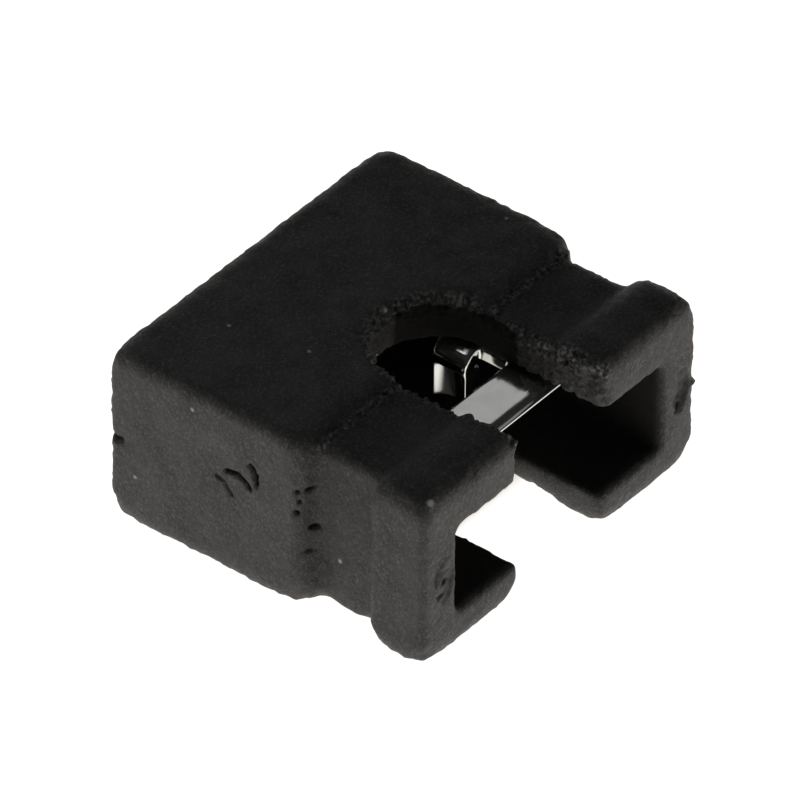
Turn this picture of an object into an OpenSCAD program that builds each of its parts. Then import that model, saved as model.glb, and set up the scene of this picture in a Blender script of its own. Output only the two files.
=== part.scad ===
// Two-way jumper shunt: a moulded housing closed at one end, and inside it one stamped
// and folded spring contact that bridges two square posts.
// X runs along the row of posts, Y from the mouth (-Y) to the closed end (+Y), and Z is
// the thickness. The origin is under the middle of the face that the part lies on.

/* [Posts] */
// Distance between the two posts
pitch = 2.54; // [2.4:0.01:3.2]
// Width across the flats of a square post
post_w = 0.64; // [0.55:0.01:0.72]

/* [Contact] */
// Thickness of the sheet metal
sheet_t = 0.2; // [0.15:0.01:0.23]
// How much narrower the grip is than a post
preload = 0.04; // [0.01:0.01:0.1]
// Depth of the bow in each inner wing
inner_bow = 0.15; // [0.06:0.01:0.2]
// Depth of the bow in each outer wing
outer_bow = 0.08; // [0.05:0.01:0.12]
// Length of the wings along the posts
wing_l = 0.5; // [0.4:0.02:0.8]
// Height of the wings, from the top of the bridge to their free edge
wing_h = 0.82; // [0.6:0.02:1.05]
// Inside radius of the folds
fold_r = 0.08; // [0.04:0.01:0.12]
// Depth of the contact's front edge behind the mouth
contact_setback = 0.79; // [0.6:0.01:0.9]
// Length of the bridge that joins the two sides in front of the window
bridge_l = 0.68; // [0.5:0.02:0.8]
// Inside radius of the front edge, which turns towards the floor
lead_r = 0.25; // [0.15:0.01:0.4]
// Angle that the front edge turns through
lead_angle = 30; // [15:1:40]
// Length of the window in front of the wings
window_front = 0.43; // [0.2:0.01:0.6]
// Length of the window behind the wings
window_back = 0.4; // [0.3:0.02:0.6]
// Relief beside each outer fold
relief = 0.1; // [0.05:0.01:0.16]
// Length of the barbs on the sides of the contact, which take up the side gap
barb_l = 0.3; // [0.2:0.02:0.5]

/* [Housing walls] */
// Thickness of the side walls
side_wall = 0.61; // [0.5:0.01:0.9]
// Thickness of the wall over the contact
roof_t = 0.65; // [0.5:0.01:0.9]
// Thickness of the wall under the posts
floor_t = 0.56; // [0.45:0.01:0.9]
// Thickness of the closed end
rear_wall = 0.45; // [0.35:0.01:0.9]
// Depth of the cavity
cavity_l = 4.15; // [3.9:0.05:6]
// Height of the cavity
cavity_h = 1.23; // [1.2:0.01:1.6]
// Gap between the contact and each side of the cavity
side_gap = 0.04; // [0.02:0.01:0.06]
// Gap between the contact and the roof of the cavity
roof_gap = 0.06; // [0.02:0.01:0.12]
// Radius of the body's edges round the top and the bottom
edge_r = 0.14; // [0.08:0.01:0.2]
// Radius of the upright edges at the closed end and at the mouth
upright_r = 0.08; // [0.04:0.01:0.2]
// Radius of the body's edges where it steps down to the waist
shoulder_r = 0.22; // [0.1:0.01:0.28]
// Radius of the collar's edges round the top and the bottom
collar_r = 0.2; // [0.1:0.01:0.24]

/* [Waist] */
// Length of the collar round the mouth
collar_l = 0.82; // [0.6:0.01:1]
// Length of the waist behind the collar
waist_l = 0.91; // [0.6:0.01:1.2]
// Depth of the waist on each side
waist_side = 0.24; // [0.1:0.01:0.3]
// Depth of the waist on the top and on the bottom
waist_face = 0.1; // [0.05:0.01:0.2]
// Radius of the waist's edges
waist_r = 0.12; // [0.06:0.01:0.2]

/* [Slots] */
// Width of the slot in the top
top_slot_w = 1.62; // [1.3:0.02:1.8]
// Width of the slot in the bottom
bottom_slot_w = 1.5; // [1.3:0.02:1.8]
// Length of both slots from the mouth to their round ends
slot_l = 2.62; // [2.2:0.02:3]
// Radius of the rim of the slot in the top
top_rim_r = 0.07; // [0.04:0.01:0.1]
// Radius of the rim of the slot in the bottom
bottom_rim_r = 0.3; // [0.1:0.01:0.32]
// Radius of the lips' front corners, beside the slots
lip_r = 0.08; // [0.04:0.01:0.2]

/* [Hidden] */
$fn = 64;
eps = 0.02;

grip = post_w - preload;
wing_reach = grip / 2 + sheet_t;
contact_half = pitch / 2 + wing_reach + outer_bow;
fold_out = fold_r + sheet_t;
window_half = pitch / 2 - wing_reach - inner_bow + fold_out;
wing_start = contact_setback + bridge_l + window_front;
lead_reach = (lead_r + sheet_t) * sin(lead_angle);
flat_start = contact_setback + lead_reach;
wing_end = wing_start + wing_l;

cavity_half = contact_half + side_gap;
housing_w = 2 * (cavity_half + side_wall);
housing_l = cavity_l + rear_wall;
housing_h = floor_t + cavity_h + roof_t;
ceiling_z = floor_t + cavity_h;
body_start = collar_l + waist_l;
mouth_y = -housing_l / 2;

// Region between a square corner at the origin and its round of radius r
module corner_waste(r) {
    difference() {
        translate([-eps, -eps]) square(r + eps);
        translate([r, r]) circle(r);
    }
}

// Rectangle about the origin with round corners
module round_rect(w, h, r) {
    difference() {
        square([w, h], center = true);
        for (a = [0, 1], b = [0, 1])
            mirror([a, 0]) mirror([0, b])
                translate([-w / 2, -h / 2]) corner_waste(r);
    }
}

// Block from y0 to y1 and from z0 to z1; r holds the radii of its edges along X, Y and Z
module round_block(w, y0, y1, z0, z1, r) {
    l = y1 - y0;
    h = z1 - z0;
    translate([0, (y0 + y1) / 2, (z0 + z1) / 2])
        intersection() {
            rotate([90, 0, 90])
                linear_extrude(w + eps, center = true) round_rect(l, h, r.x);
            rotate([90, 0, 0])
                linear_extrude(l + eps, center = true) round_rect(w, h, r.y);
            linear_extrude(h + eps, center = true) round_rect(w, l, r.z);
        }
}

// Body behind the waist, with a larger radius on its shoulder than at the closed end
module body_block() {
    intersection() {
        round_block(housing_w, collar_l, housing_l, 0, housing_h, [edge_r, edge_r, upright_r]);
        round_block(housing_w, body_start, 2 * housing_l, 0, housing_h,
                    [shoulder_r, edge_r, shoulder_r]);
    }
}

// Outside of the housing: the body, the waist and the collar round the mouth
module shell_outside() {
    translate([0, mouth_y, 0]) {
        body_block();
        round_block(housing_w - 2 * waist_side, collar_l / 2, body_start + collar_l / 2,
                    waist_face, housing_h - waist_face, [waist_r, waist_r, waist_r]);
        round_block(housing_w, 0, collar_l, 0, housing_h, [collar_r, collar_r, upright_r]);
    }
}

// Plan of a slot that opens at the mouth (y = 0) and has a round end
module slot_plan(w) {
    translate([-w / 2, -eps]) square([w, slot_l - w / 2 + eps]);
    translate([0, slot_l - w / 2]) circle(w / 2);
}

// Round of radius r along both rims of a slot of width w, from y0 to y1; the wall is below
// z = 0
module slot_rim(w, r, y0, y1) {
    for (side = [0, 1])
        mirror([side, 0, 0])
            translate([w / 2, y1, 0])
                rotate([90, 0, 0]) linear_extrude(y1 - y0) mirror([0, 1]) corner_waste(r);
}

// One slot through a wall, with its rounds; z = 0 is the outer face of the body
module slot_cut(w, wall, r) {
    end_y = slot_l - w / 2;
    translate([0, 0, -wall - eps]) linear_extrude(wall + 2 * eps) slot_plan(w);
    slot_rim(w, r, -eps, collar_l);
    translate([0, 0, -waist_face]) slot_rim(w, r, collar_l, body_start);
    slot_rim(w, r, body_start, end_y);
    translate([0, end_y, 0])
        rotate_extrude(angle = 180)
            translate([w / 2, 0]) mirror([0, 1]) corner_waste(r);
    for (side = [0, 1])
        mirror([side, 0, 0])
            translate([w / 2, 0, -wall - eps])
                linear_extrude(wall + 2 * eps) corner_waste(lip_r);
}

module housing() {
    color([0.07, 0.07, 0.07])
        difference() {
            shell_outside();
            translate([0, mouth_y, 0]) {
                translate([-cavity_half, -eps, floor_t])
                    cube([2 * cavity_half, cavity_l + eps, cavity_h]);
                translate([0, 0, housing_h]) slot_cut(top_slot_w, roof_t, top_rim_r);
                mirror([0, 0, 1]) slot_cut(bottom_slot_w, floor_t, bottom_rim_r);
            }
        }
}

// Flat part of the contact, seen from above, with y measured from the mouth
module contact_plan() {
    difference() {
        translate([-contact_half, flat_start])
            square([2 * contact_half, cavity_l - flat_start]);
        translate([-window_half, contact_setback + bridge_l])
            square([2 * window_half, window_front + wing_l + window_back]);
        for (side = [0, 1])
            mirror([side, 0])
                translate([contact_half - fold_out, wing_start - relief])
                    square([fold_out + eps, wing_l + 2 * relief]);
    }
    for (side = [0, 1])
        mirror([side, 0])
            translate([contact_half, (wing_end + cavity_l) / 2])
                polygon([[-eps, 0], [0, 0], [side_gap, barb_l], [-eps, barb_l]]);
}

// Front edge, turned towards the floor to lead the posts in
module lead_in() {
    r_out = lead_r + sheet_t;
    far = 2 * r_out;
    translate([-contact_half, flat_start, -r_out])
        rotate([90, 0, 90])
            linear_extrude(2 * contact_half)
                intersection() {
                    difference() {
                        circle(r_out);
                        circle(lead_r);
                    }
                    polygon([[0, 0], [0, far], [-far * tan(lead_angle), far]]);
                }
}

// Wing folded down from the edge x = 0 of the flat, which lies at x > 0. Below the fold it
// bows towards the post, by bow at its middle.
module wing(bow) {
    r_in = (pow(wing_l / 2, 2) + pow(bow, 2)) / (2 * bow);
    translate([0, wing_l, -fold_out])
        rotate([90, 0, 0])
            linear_extrude(wing_l) {
                intersection() {
                    difference() {
                        circle(fold_out);
                        circle(fold_r);
                    }
                    translate([-fold_out, 0]) square(fold_out);
                }
                translate([0, fold_r]) square([fold_r, sheet_t]);
                translate([-fold_out, -eps]) square([sheet_t, eps]);
            }
    translate([0, 0, -wing_h])
        linear_extrude(wing_h - fold_out)
            intersection() {
                translate([-fold_out + bow - r_in, wing_l / 2])
                    difference() {
                        circle(r_in + sheet_t);
                        circle(r_in);
                    }
                translate([-fold_out, 0]) square([fold_out + bow, wing_l]);
            }
}

module contact() {
    color([0.75, 0.75, 0.73])
        translate([0, mouth_y, ceiling_z - roof_gap]) {
            translate([0, 0, -sheet_t]) linear_extrude(sheet_t) contact_plan();
            lead_in();
            for (side = [0, 1])
                mirror([side, 0, 0]) {
                    translate([window_half, wing_start, 0]) wing(inner_bow);
                    translate([contact_half - fold_out, wing_start, 0])
                        mirror([1, 0, 0]) wing(outer_bow);
                }
        }
}

housing();
contact();
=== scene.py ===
import math

import bmesh
import bpy
import numpy as np
from mathutils import Matrix, Vector


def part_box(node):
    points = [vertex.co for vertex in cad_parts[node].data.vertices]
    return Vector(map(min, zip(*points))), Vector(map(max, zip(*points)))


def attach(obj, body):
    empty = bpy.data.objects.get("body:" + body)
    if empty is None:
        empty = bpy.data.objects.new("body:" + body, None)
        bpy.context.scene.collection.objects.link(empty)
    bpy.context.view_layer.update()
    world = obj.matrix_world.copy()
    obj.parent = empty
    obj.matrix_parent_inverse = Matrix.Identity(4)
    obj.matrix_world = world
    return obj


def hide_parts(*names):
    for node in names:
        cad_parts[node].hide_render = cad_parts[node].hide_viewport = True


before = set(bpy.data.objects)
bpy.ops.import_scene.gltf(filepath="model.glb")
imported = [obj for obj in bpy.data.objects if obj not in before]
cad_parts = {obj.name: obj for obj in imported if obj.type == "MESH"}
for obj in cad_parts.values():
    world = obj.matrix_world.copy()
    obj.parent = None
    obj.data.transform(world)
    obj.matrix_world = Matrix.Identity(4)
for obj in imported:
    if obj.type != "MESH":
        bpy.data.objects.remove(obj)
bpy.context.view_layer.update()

# All lengths in this script are in millimetres and become metres by MM.
MM = 0.001

# Place of the housing, from the frame
HOUSING_LOW, HOUSING_HIGH = (np.array(corner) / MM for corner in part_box("housing"))
MOUTH_Y = HOUSING_LOW[1]
REAR_Y = HOUSING_HIGH[1]
SIDE_X = HOUSING_HIGH[0]
TOP_Z = HOUSING_HIGH[2]

# Scratches on the -X side: depth, and the points (y, z) that each runs through
SCRATCHES = [
    (0.1, [(0.22, 1.8), (0.16, 1.73), (0.12, 1.57)]),
    (0.08, [(0.57, 1.55), (0.39, 1.57), (0.29, 1.53), (0.22, 1.46)]),
    (0.03, [(0.71, 1.4), (0.59, 1.37), (0.49, 1.23)]),
]
SCRATCH_HALF = 0.045

# How far a mark on a face reaches through it
FACE_REACH = 0.15

# Gate marks on the front of the arms: (x, z, half width, half height)
GATES = [(-2.14, 1.21, 0.19, 0.36), (2.2, 1.25, 0.16, 0.34)]

# Pits and notches: (centre, radii, depth), and one nub with its depth below zero
PITS = [
    ((-2.12, -2.3, 1.16), (0.1, 0.2, 0.06), 0.05),
    ((-2.2, -2.3, 1.0), (0.1, 0.2, 0.05), 0.05),
    ((2.18, -2.3, 1.0), (0.08, 0.2, 0.06), 0.07),
    ((-2.36, -0.55, 1.77), (0.15, 0.07, 0.05), 0.07),
    ((-2.48, -0.45, 1.73), (0.15, 0.06, 0.05), 0.06),
    ((-2.46, -0.47, 1.59), (0.15, 0.04, 0.05), 0.05),
    ((-2.48, -0.45, 1.44), (0.15, 0.06, 0.06), 0.08),
    ((-2.32, -0.57, 1.2), (0.15, 0.08, 0.05), 0.07),
    ((-2.39, -0.54, 0.87), (0.15, 0.06, 0.05), 0.04),
    ((-2.42, -1.43, 1.34), (0.2, 0.05, 0.1), 0.05),
    ((-2.5, 2.2, 1.2), (0.25, 0.16, 0.07), 0.08),
    ((2.48, -2.28, 1.2), (0.12, 0.12, 0.07), -0.05),
]

# Specks of pale dust on the faces
DUST = [
    (-2.5, 1.06, 2.18), (-2.5, 1.9, 0.77), (-1.09, 0.5, 2.44), (2.24, 0.28, 2.44),
    (0.06, 0.27, 2.44), (-2.27, -0.9, 0.83), (-2.3, -2.25, 2.42), (-1.3, 1.5, 2.44),
]
DUST_SIZE = 0.03

# Lumps of the moulded surface: (size, seed, height on a face, more height on an edge)
LUMPS = [(0.2, 11, 0.006, 0.0), (0.09, 12, 0.003, 0.01), (0.055, 13, 0.003, 0.01)]

# Torn rims: how far they stand out on the whole, and how high their flakes are
TORN_RISE = 0.015
FLAKE_HEIGHT = 0.04

# Height of the lumps on the slot's wall
RIB_HEIGHT = 0.03

# Colours of the plastic
PLASTIC_DARK = (0.01, 0.01, 0.0096, 1)
PLASTIC_GREY = (0.05, 0.0485, 0.0465, 1)
PLASTIC_PALE = (0.13, 0.127, 0.121, 1)
# Pale colour of the torn flakes: partly the torn plastic's own colour, partly painted glints of
# light on them
PLASTIC_TORN_AND_GLINT = (0.2, 0.2, 0.195, 1)
# Painted shade colour, for the cavity, the shaded slot wall and the hollows of pits, scratches and
# gate marks
PLASTIC_PAINTED_SHADE = (0.008, 0.0075, 0.006, 1)
DUST_COLOUR = (0.55, 0.55, 0.52, 1)

# Fine relief of the plastic, in the shading alone
GRAIN_BUMP = 0.05
FINE_BUMP = 0.02

# Colours of the contact's plating, and the relief of its rolling marks in the shading
METAL_DULL = (0.66, 0.67, 0.64, 1)
METAL_BRIGHT = (0.74, 0.75, 0.73, 1)
ROLLING_BUMP = 0.0006

# Camera, as the direction it looks from and the point it looks at
CAMERA_AZIMUTH = -51.77
CAMERA_ELEVATION = 38.84
CAMERA_ROLL = 0.573
CAMERA_AIM = (0.058, 0.088, 1.22)
CAMERA_DISTANCE = 150
CAMERA_LENS = 591
CAMERA_SENSOR = 36

# The floor gives light, in a slightly warm white. Under the part a shadow is painted into it, its
# glow fading along Y from SHADE_START, where that begins, to SHADE_FULL, and in from the sides by
# the two insets.
FLOOR_GLOW = (1.0, 0.965, 0.925, 1)
FLOOR_STRENGTH = 1.12
FLOOR_HALF = 2000
FLOOR_DROP = 0.01
SHADE_START = -1.05
SHADE_FULL = -0.5
SHADE_INSETS = (0.5, 0.8)
REAR_INSET = 0.3

# Angle across X by which the shading of the contact's level faces is tilted, in degrees, as
# if the bridge were slightly bent; its shape stays level
PLATE_TILT = 11

# Studio around the part: its brightness at the horizon and above it, the height where it has
# become dim (1 is straight up), and the white that only the camera sees
HORIZON_BRIGHT = 0.9
STUDIO_DIM = 0.02
HORIZON_GLOW = 0.16
BACKDROP_WHITE = 1.1

# Light panels: (name, azimuth, elevation, distance, side, brightness as seen)
PANELS = [
    ("panel_behind", 148, 58, 40, 20, 0.42),
    ("panel_right", 64, 50, 40, 22, 0.2),
    ("panel_above", 195, 50, 11, 5, 1.25),
]

# Housing mesh: side of its squares, passes of smoothing all over and at the worn corners, and
# the share of the way to its neighbours that a point moves in each pass
VOXEL = 0.049
SMOOTH_PASSES = 3
CORNER_PASSES = 24
SMOOTH_SHARE = 0.5

# Contact mesh: side of its squares, and passes of smoothing, which round its cut edges
CONTACT_VOXEL = 0.022
CONTACT_PASSES = 6

# Features of the housing that the marks follow: the slot in the top and the centre of its
# round end, the step between the body and the waist, the cavity, and the collar's length
SLOT_HALF = 0.81
SLOT_END_Y = MOUTH_Y + 1.81
STEP_Y = MOUTH_Y + 1.73
WAIST_Z = TOP_Z - 0.1
CEILING_Z = 1.79
CAVITY_FLOOR = 0.56
CAVITY_HALF = 1.89
CAVITY_END_Y = MOUTH_Y + 4.15
COLLAR_L = 0.82


def direction(azimuth, elevation):
    """Unit vector from the part towards that side; azimuth 0 is the mouth, 90 the +X side."""
    a, e = math.radians(azimuth), math.radians(elevation)
    return Vector((math.sin(a) * math.cos(e), -math.cos(a) * math.cos(e), math.sin(e)))


# ---------------------------------------------------------------- noise and mesh helpers
def lattice_noise(points, size, seed):
    """Smooth noise from -1 to 1 at the points, in lumps of about that size."""
    cell = points / size
    base = np.floor(cell).astype(np.int64)
    blend = cell - base
    blend = blend * blend * (3 - 2 * blend)
    total = np.zeros(len(points))
    for corner in np.ndindex(2, 2, 2):
        node = base + np.array(corner)
        key = node[:, 0] * 73856093 ^ node[:, 1] * 19349663 ^ node[:, 2] * 83492791 ^ seed * 2654435
        key = (key ^ (key >> 13)) * 1274126177 & 0x7FFFFFFF
        key = (key ^ (key >> 16)) & 0xFFFF
        weight = np.prod(np.where(np.array(corner), blend, 1 - blend), axis=1)
        total += weight * key / 0xFFFF
    return 2 * total - 1


def fall_off(distance, width):
    """1 at no distance, easing to 0 at the width."""
    near = np.clip(1 - np.abs(distance) / width, 0, 1)
    return near * near * (3 - 2 * near)


def rise(value, start, end):
    """0 below the start, easing to 1 at the end."""
    t = np.clip((value - start) / (end - start), 0, 1)
    return t * t * (3 - 2 * t)


def read_points(mesh):
    points = np.empty(len(mesh.vertices) * 3)
    mesh.vertices.foreach_get("co", points)
    return points.reshape(-1, 3)


def write_points(mesh, points):
    mesh.vertices.foreach_set("co", np.ascontiguousarray(points).ravel())
    mesh.update()


def read_normals(mesh):
    normals = np.empty(len(mesh.vertices) * 3)
    mesh.vertex_normals.foreach_get("vector", normals)
    return normals.reshape(-1, 3)


def read_edges(mesh):
    edges = np.empty(len(mesh.edges) * 2, dtype=np.int64)
    mesh.edges.foreach_get("vertices", edges)
    return edges.reshape(-1, 2)


def smoothed(points, edges, weight, passes):
    """Points moved towards the middle of their neighbours, by a weight for each point."""
    count = len(points)
    ends = np.concatenate([edges[:, 0], edges[:, 1]])
    others = np.concatenate([edges[:, 1], edges[:, 0]])
    degree = np.bincount(ends, minlength=count)[:, None]
    for _ in range(passes):
        mean = np.stack(
            [np.bincount(ends, points[others, axis], minlength=count) for axis in range(3)],
            axis=1,
        )
        points = points + weight[:, None] * (mean / degree - points)
    return points


def voxel_copy(node, voxel, name):
    """Closed mesh in millimetres on the node's surface, in even squares of the voxel's size."""
    source = bpy.data.objects.new(name, node.data.copy())
    source.data.transform(Matrix.Scale(1 / MM, 4))
    bpy.context.scene.collection.objects.link(source)
    remesh = source.modifiers.new("even", "REMESH")
    remesh.mode = "VOXEL"
    remesh.voxel_size = voxel
    graph = bpy.context.evaluated_depsgraph_get()
    mesh = bpy.data.meshes.new_from_object(source.evaluated_get(graph))
    bpy.data.objects.remove(source)
    return mesh


def place(mesh, name, material):
    """Piece of the object from a mesh in millimetres."""
    mesh.transform(Matrix.Scale(MM, 4))
    mesh.shade_smooth()
    mesh.materials.clear()
    mesh.materials.append(material)
    piece = bpy.data.objects.new(name, mesh)
    bpy.context.scene.collection.objects.link(piece)
    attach(piece, "root")
    return piece


# ---------------------------------------------------------------- materials
class Shader:
    """A material with a Principled shader and short calls for its nodes."""

    def __init__(self, name):
        self.material = bpy.data.materials.new(name)
        self.material.use_nodes = True
        self.tree = self.material.node_tree
        self.surface = self.tree.nodes["Principled BSDF"]
        coordinates = self.tree.nodes.new("ShaderNodeTexCoord")
        self.place = coordinates.outputs["Object"]

    def node(self, kind, inputs=None, **settings):
        made = self.tree.nodes.new(kind)
        for key, value in settings.items():
            setattr(made, key, value)
        for key, value in (inputs or {}).items():
            self.feed(made.inputs[key], value)
        return made

    def feed(self, socket, value):
        if isinstance(value, bpy.types.NodeSocket):
            self.tree.links.new(value, socket)
        else:
            socket.default_value = value

    def noise(self, size, detail=2.0, stretch=(1, 1, 1), roughness=0.5):
        """Noise in lumps of the size in millimetres, longer along an axis by its stretch."""
        scale = tuple(1 / (size * MM * s) for s in stretch)
        mapping = self.node("ShaderNodeMapping", {"Vector": self.place, "Scale": scale})
        made = self.node(
            "ShaderNodeTexNoise",
            {"Vector": mapping.outputs[0], "Scale": 1.0, "Detail": detail, "Roughness": roughness},
        )
        return made.outputs["Fac"]

    def ramp(self, value, low, high, start=0.0, end=1.0):
        made = self.node(
            "ShaderNodeMapRange",
            {"Value": value, "From Min": low, "From Max": high, "To Min": start, "To Max": end},
        )
        return made.outputs[0]

    def math(self, operation, a, b):
        made = self.node("ShaderNodeMath", operation=operation)
        self.feed(made.inputs[0], a)
        self.feed(made.inputs[1], b)
        return made.outputs[0]

    def mix(self, amount, a, b):
        made = self.node("ShaderNodeMix", data_type="RGBA")
        self.feed(made.inputs["Factor"], amount)
        self.feed(made.inputs["A"], a)
        self.feed(made.inputs["B"], b)
        return made.outputs["Result"]

    def split(self, vector):
        return self.node("ShaderNodeSeparateXYZ", {"Vector": vector}).outputs

    def attribute(self, name):
        return self.node("ShaderNodeAttribute", attribute_name=name).outputs["Fac"]

    def bump(self, height, distance, normal=None):
        made = self.node("ShaderNodeBump", {"Height": height, "Distance": distance * MM})
        if normal is not None:
            self.feed(made.inputs["Normal"], normal)
        return made.outputs[0]


def plastic():
    """Black moulded plastic with the fine grain of a spark-eroded mould, painted shade in the cavity
    and the marks' hollows, and painted glints on the torn flakes.
    """
    s = Shader("housing_plastic")
    grain = s.noise(0.08, detail=5, stretch=(1, 1, 1.5), roughness=0.75)
    fine = s.noise(0.03, detail=4, roughness=0.8)
    patches = s.noise(0.5, detail=3)
    shade = s.ramp(s.math("ADD", grain, patches), 0.75, 1.25)
    colour = s.mix(shade, PLASTIC_DARK, PLASTIC_GREY)
    pale = s.math("MULTIPLY", s.ramp(s.noise(0.034, detail=2), 0.5, 0.7), 0.65)
    colour = s.mix(pale, colour, PLASTIC_PALE)
    # Paler flakes on the torn rim and the step: torn plastic, with painted glints
    flakes = s.math("MULTIPLY", s.attribute("torn"), s.ramp(s.noise(0.05, detail=3), 0.5, 0.6))
    colour = s.mix(flakes, colour, PLASTIC_TORN_AND_GLINT)
    # Painted shade: near black where the cavity, the slot's wall and the hollows of the marks lie in
    # shade
    painted_shade = s.math("MAXIMUM", s.attribute("scar_shade"), s.attribute("inside"))
    colour = s.mix(painted_shade, colour, PLASTIC_PAINTED_SHADE)
    dust = s.attribute("dust")
    colour = s.mix(dust, colour, DUST_COLOUR)
    s.feed(s.surface.inputs["Base Color"], colour)
    gloss = s.ramp(grain, 0.3, 0.7, 0.4, 0.65)
    s.feed(s.surface.inputs["Roughness"], s.math("MAXIMUM", gloss, s.math("MULTIPLY", painted_shade, 0.97)))
    s.surface.inputs["IOR"].default_value = 1.5
    rough = s.bump(grain, GRAIN_BUMP)
    rough = s.bump(fine, FINE_BUMP, rough)
    s.feed(s.surface.inputs["Normal"], rough)
    return s.material


def spring_metal():
    """Bright plated spring sheet with faint rolling marks."""
    s = Shader("contact_metal")
    clouds = s.noise(0.3, detail=3)
    rolling = s.noise(0.03, detail=3, stretch=(12, 1, 1))
    colour = s.mix(s.ramp(clouds, 0.35, 0.65), METAL_DULL, METAL_BRIGHT)
    s.feed(s.surface.inputs["Base Color"], colour)
    s.surface.inputs["Metallic"].default_value = 1.0
    s.feed(s.surface.inputs["Roughness"], s.ramp(rolling, 0.3, 0.7, 0.1, 0.15))
    across, _, _ = s.split(s.place)
    facing = s.split(s.node("ShaderNodeNewGeometry").outputs["Normal"])[2]
    level = s.math("MULTIPLY", s.ramp(facing, 0.8, 0.95), math.tan(math.radians(PLATE_TILT)) / MM)
    tilted = s.bump(s.math("MULTIPLY", across, level), 1.0)
    s.feed(s.surface.inputs["Normal"], s.bump(rolling, ROLLING_BUMP, tilted))
    return s.material


def light_floor():
    """White floor, bright enough to lose every shadow, with a painted shadow where the part covers
    it.
    """
    s = Shader("floor_white")
    across, along, _ = s.split(s.place)
    reach = HOUSING_HIGH * MM
    edge, full = (reach[0] - inset * MM for inset in SHADE_INSETS)
    # Painted shadow: the floor's glow fades out under the part
    inside = s.ramp(s.math("ABSOLUTE", across, 0.0), edge, full)
    behind_mouth = s.ramp(along, SHADE_START * MM, SHADE_FULL * MM)
    before_rear = s.ramp(along, reach[1], reach[1] - REAR_INSET * MM)
    painted_shadow = s.math("MULTIPLY", inside, s.math("MULTIPLY", behind_mouth, before_rear))
    s.surface.inputs["Base Color"].default_value = (0.9, 0.9, 0.9, 1)
    s.surface.inputs["Roughness"].default_value = 1.0
    s.surface.inputs["Emission Color"].default_value = FLOOR_GLOW
    s.feed(s.surface.inputs["Emission Strength"], s.ramp(painted_shadow, 0.0, 1.0, FLOOR_STRENGTH, 0.0))
    return s.material


# ---------------------------------------------------------------- housing
def scar_depth(points):
    """Depth of the scratches, pits and notches, in millimetres."""
    depth = scratches(points)
    for centre, radii, deep in PITS:
        depth += deep * pit(points, centre, radii)
    return depth


def slot_distance(points):
    """Distance in plan from the slot's wall, below zero inside the slot."""
    past_end = np.maximum(points[:, 1] - SLOT_END_Y, 0)
    return np.hypot(points[:, 0], past_end) - SLOT_HALF


def near_rim(points, width):
    """1 on the rim of the top slot, easing to 0 at the width from it."""
    high = rise(points[:, 2], CEILING_Z + 0.25, WAIST_Z)
    return high * fall_off(slot_distance(points), width)


def near_step(points, width):
    """1 on the line across the top where the body steps down to the waist."""
    high = rise(points[:, 2], WAIST_Z - 0.15, WAIST_Z - 0.03)
    return high * fall_off(points[:, 1] - STEP_Y + 0.03, width)


def torn(points):
    """How torn and flaky the plastic is, from 0 to 1."""
    return np.clip(near_rim(points, 0.14) + near_step(points, 0.1), 0, 1)


def lumpy_wall(points):
    """1 on the lumpy parts of the slot's wall: near the mouth on +X, and at the back on -X."""
    on_wall = fall_off(slot_distance(points), 0.12)
    forward = 1 - rise(points[:, 1], MOUTH_Y + 1.2, MOUTH_Y + 1.6)
    back = rise(points[:, 1], MOUTH_Y + 2.0, MOUTH_Y + 2.2) * (1 - rise(points[:, 0], 0.0, 0.2))
    lumpy = np.maximum(forward * (points[:, 0] > 0), back)
    return on_wall * lumpy * rise(points[:, 2], CEILING_Z - 0.05, CEILING_Z + 0.05)


def refine(mesh, wanted):
    """Splits the edges whose middles are wanted, so that small marks have enough points."""
    points = read_points(mesh)
    edges = read_edges(mesh)
    chosen = wanted(points[edges].mean(axis=1))
    work = bmesh.new()
    work.from_mesh(mesh)
    work.edges.ensure_lookup_table()
    picked = [work.edges[i] for i in np.flatnonzero(chosen)]
    bmesh.ops.subdivide_edges(work, edges=picked, cuts=1, use_grid_fill=True)
    work.to_mesh(mesh)
    work.free()


def worn_corners(points):
    """Where the outer corners and the bottom edges are rounder than elsewhere, from 0 to 1."""
    reach = 0.4
    across = fall_off(SIDE_X - np.abs(points[:, 0]), reach)
    low = fall_off(points[:, 2], reach)
    high = fall_off(TOP_Z - points[:, 2], reach)
    ends = [MOUTH_Y, MOUTH_Y + COLLAR_L, STEP_Y, REAR_Y]
    along = np.max([fall_off(points[:, 1] - y, reach) for y in ends], axis=0)
    corners = across * along * np.maximum(low, high)
    lower_edges = low * np.maximum(across, along)
    upper = 1 - 0.88 * rise(points[:, 2], 1.0, 1.6)
    return np.clip(upper * (4 * corners + 0.9 * lower_edges), 0, 0.9)


def cavity_shade(points):
    """Painted shade: 1 on the walls of the cavity, and on the smooth part of the slot's wall on the
    +X side, which are painted dark as if in shade.
    """
    inside = 1 - rise(np.abs(points[:, 0]), CAVITY_HALF + 0.03, CAVITY_HALF + 0.12)
    inside *= rise(points[:, 2], CAVITY_FLOOR - 0.06, CAVITY_FLOOR)
    inside *= 1 - rise(points[:, 2], CEILING_Z, CEILING_Z + 0.06)
    inside *= rise(points[:, 1], MOUTH_Y + 0.02, MOUTH_Y + 0.15)
    inside *= 1 - rise(points[:, 1], CAVITY_END_Y + 0.06, CAVITY_END_Y + 0.15)
    deep_wall = fall_off(slot_distance(points), 0.2) * rise(points[:, 0], 0.1, 0.4)
    deep_wall *= rise(points[:, 1], MOUTH_Y + 1.2, MOUTH_Y + 1.45)
    deep_wall *= 1 - rise(points[:, 2], WAIST_Z - 0.1, WAIST_Z)
    return np.maximum(inside, np.clip(3 * deep_wall, 0, 1))


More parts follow.
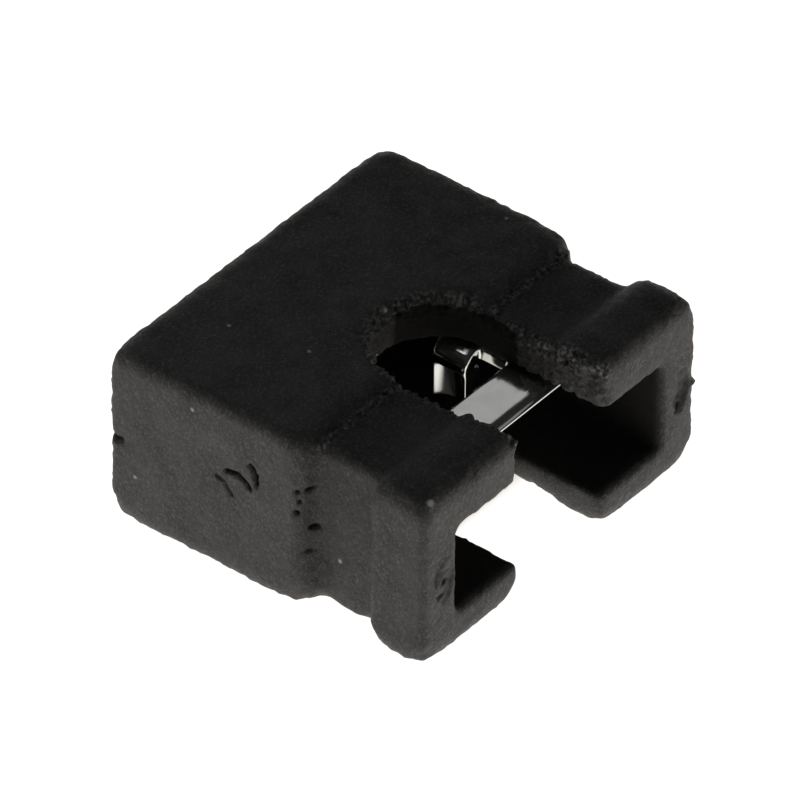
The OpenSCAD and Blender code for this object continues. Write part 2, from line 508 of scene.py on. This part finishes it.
def has_small_marks(points):
    """Where the mesh needs more points than elsewhere."""
    rim = (near_rim(points, 0.16) > 0) | (near_step(points, 0.1) > 0)
    scars = (scar_depth(points) > 0) | (gate_marks(points)[1] > 0)
    away = np.min([np.linalg.norm(points - np.array(speck), axis=1) for speck in DUST], axis=0)
    return rim | scars | (lumpy_wall(points) > 0) | (away < 0.08)


def grain_lumps(points, normals):
    """Uneven moulded surface, rougher along the edges."""
    edge = np.clip((1 - np.abs(normals).max(axis=1)) / 0.3, 0, 1)
    height = np.zeros(len(points))
    for size, seed, on_face, more in LUMPS:
        height += (on_face + more * edge) * lattice_noise(points, size, seed)
    return height


def torn_flakes(points):
    """Height of the flakes along the torn rim and the step."""
    flakes = lattice_noise(points, 0.07, 21) + 0.7 * lattice_noise(points, 0.035, 22)
    return torn(points) * (TORN_RISE + FLAKE_HEIGHT * flakes)


def pit(points, centre, radii):
    """1 in the middle of an uneven oval pit, easing to 0 near its radii."""
    away = np.linalg.norm((points - np.array(centre)) / np.array(radii), axis=1)
    return fall_off(away * (1 + 0.45 * lattice_noise(points, 0.06, 51)), 1.0)


def scratches(points):
    """Depth of the curved scratches side by side on the -X side."""
    place_yz = points[:, 1:]
    depth = np.zeros(len(points))
    for deep, path in SCRATCHES:
        path = np.array(path)
        for start, end in zip(path[:-1], path[1:]):
            along = end - start
            share = np.clip((place_yz - start) @ along / (along @ along), 0, 1)
            away = np.linalg.norm(place_yz - start - share[:, None] * along, axis=1)
            depth = np.maximum(depth, deep * fall_off(away, SCRATCH_HALF))
    return depth * fall_off(points[:, 0] + SIDE_X, FACE_REACH)


def gate_marks(points):
    """Torn ovals on the front of both arms, where the runners broke off: (height, mask of painted
    shade in their hollows).
    """
    height = np.zeros(len(points))
    gate_shade_mask = np.zeros(len(points))
    for x, z, half_x, half_z in GATES:
        radius = np.hypot((points[:, 0] - x) / half_x, (points[:, 2] - z) / half_z)
        on_front = fall_off(points[:, 1] - MOUTH_Y, FACE_REACH)
        inside = on_front * (1 - rise(radius, 0.8, 1.1))
        rough = lattice_noise(points, 0.16, 41) + 0.5 * lattice_noise(points, 0.06, 42)
        ring = on_front * fall_off(radius - 0.95, 0.25)
        height += inside * (-0.025 + 0.035 * rough) + 0.006 * ring
        # Painted shade, darker where the oval dips lower
        gate_shade_mask = np.maximum(gate_shade_mask, inside * np.clip(0.7 - 1.4 * rough, 0, 1))
    return height, gate_shade_mask


def wall_lumps(points):
    """Height of the lumps on the slot's wall, which are drawn out along Z."""
    stretched = points * np.array((1, 1, 0.35))
    ribs = lattice_noise(stretched, 0.07, 31) + 0.5 * lattice_noise(points, 0.05, 32)
    return lumpy_wall(points) * RIB_HEIGHT * ribs


def add_housing():
    mesh = voxel_copy(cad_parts["housing"], VOXEL, "housing_even")
    points = read_points(mesh)
    edges = read_edges(mesh)
    even = np.full(len(points), SMOOTH_SHARE)
    points = smoothed(points, edges, even, SMOOTH_PASSES)
    write_points(mesh, smoothed(points, edges, worn_corners(points), CORNER_PASSES))
    refine(mesh, has_small_marks)
    refine(mesh, has_small_marks)
    points = read_points(mesh)
    normals = read_normals(mesh)
    moves = grain_lumps(points, normals) + torn_flakes(points) + wall_lumps(points)
    marks, gate_shade = gate_marks(points)
    scars = scar_depth(points)
    moves += marks - scars
    points = points + normals * moves[:, None]
    write_points(mesh, points)
    dust = np.zeros(len(points))
    for speck in DUST:
        away = np.linalg.norm(points - np.array(speck), axis=1)
        dust = np.maximum(dust, fall_off(away - away.min(), DUST_SIZE))
    layers = {
        "dust": dust,
        "torn": torn(points),
        # Painted shade of the cavity's walls and of the slot's wall behind the bridge
        "inside": cavity_shade(points),
        # Painted shade in the pits, notches, scratches and gate hollows, darker where they are
        # deeper
        "scar_shade": np.clip(scars / 0.05 + 0.5 * gate_shade, 0, 1),
    }
    for name, values in layers.items():
        layer = mesh.attributes.new(name, "FLOAT", "POINT")
        layer.data.foreach_set("value", values)
    piece = place(mesh, "housing_moulding", plastic())
    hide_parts("housing")


# ---------------------------------------------------------------- contact
def add_contact():
    """The folded contact with the rounded edges that a stamped sheet has."""
    mesh = voxel_copy(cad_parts["contact"], CONTACT_VOXEL, "contact_even")
    points = read_points(mesh)
    even = np.full(len(points), SMOOTH_SHARE)
    write_points(mesh, smoothed(points, read_edges(mesh), even, CONTACT_PASSES))
    piece = place(mesh, "contact_sheet", spring_metal())
    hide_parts("contact")


# ---------------------------------------------------------------- studio
def add_panel(name, azimuth, elevation, distance, side, radiance):
    """Square light panel that faces the part; radiance is its brightness as seen."""
    light = bpy.data.lights.new(name, "AREA")
    light.shape = "SQUARE"
    light.size = side * MM
    light.energy = radiance * math.pi * light.size * light.size
    panel = bpy.data.objects.new(name, light)
    away = direction(azimuth, elevation)
    panel.location = away * distance * MM
    panel.rotation_mode = "QUATERNION"
    panel.rotation_quaternion = away.to_track_quat("Z", "Y")
    panel.visible_camera = False
    bpy.context.scene.collection.objects.link(panel)


def add_floor():
    half = FLOOR_HALF * MM
    mesh = bpy.data.meshes.new("floor")
    corners = [(-half, -half, 0), (half, -half, 0), (half, half, 0), (-half, half, 0)]
    mesh.from_pydata(corners, [], [(0, 1, 2, 3)])
    mesh.materials.append(light_floor())
    floor = bpy.data.objects.new("floor", mesh)
    floor.location.z = -FLOOR_DROP * MM
    bpy.context.scene.collection.objects.link(floor)


def add_world():
    """White behind the object, and a dim studio above it for everything that reflects."""
    world = bpy.data.worlds.new("studio")
    world.use_nodes = True
    tree = world.node_tree
    dim = tree.nodes["Background"]
    dim.inputs["Color"].default_value = (1, 1, 1, 1)
    coordinates = tree.nodes.new("ShaderNodeTexCoord")
    height = tree.nodes.new("ShaderNodeSeparateXYZ")
    glow = tree.nodes.new("ShaderNodeMapRange")
    glow.inputs["From Min"].default_value = 0.0
    glow.inputs["From Max"].default_value = HORIZON_GLOW
    glow.inputs["To Min"].default_value = HORIZON_BRIGHT
    glow.inputs["To Max"].default_value = STUDIO_DIM
    tree.links.new(coordinates.outputs["Generated"], height.inputs[0])
    tree.links.new(height.outputs["Z"], glow.inputs["Value"])
    tree.links.new(glow.outputs[0], dim.inputs["Strength"])
    white = tree.nodes.new("ShaderNodeBackground")
    white.inputs["Color"].default_value = (1, 1, 1, 1)
    white.inputs["Strength"].default_value = BACKDROP_WHITE
    path = tree.nodes.new("ShaderNodeLightPath")
    mix = tree.nodes.new("ShaderNodeMixShader")
    tree.links.new(path.outputs["Is Camera Ray"], mix.inputs[0])
    tree.links.new(dim.outputs[0], mix.inputs[1])
    tree.links.new(white.outputs[0], mix.inputs[2])
    tree.links.new(mix.outputs[0], tree.nodes["World Output"].inputs["Surface"])
    bpy.context.scene.world = world


def add_camera():
    lens = bpy.data.cameras.new("camera")
    lens.lens = CAMERA_LENS
    lens.sensor_width = CAMERA_SENSOR
    lens.clip_start = MM
    lens.clip_end = 10
    camera = bpy.data.objects.new("camera", lens)
    back = direction(CAMERA_AZIMUTH, CAMERA_ELEVATION)
    aim = Vector(CAMERA_AIM)
    facing = (-back).to_track_quat("-Z", "Y").to_matrix().to_4x4()
    roll = Matrix.Rotation(math.radians(CAMERA_ROLL), 4, "Z")
    camera.matrix_world = Matrix.Translation((aim + back * CAMERA_DISTANCE) * MM) @ facing @ roll
    bpy.context.scene.collection.objects.link(camera)
    bpy.context.scene.camera = camera
    bpy.context.scene.view_settings.view_transform = "Standard"


add_camera()
add_world()
add_floor()
for panel_values in PANELS:
    add_panel(*panel_values)
add_housing()
add_contact()
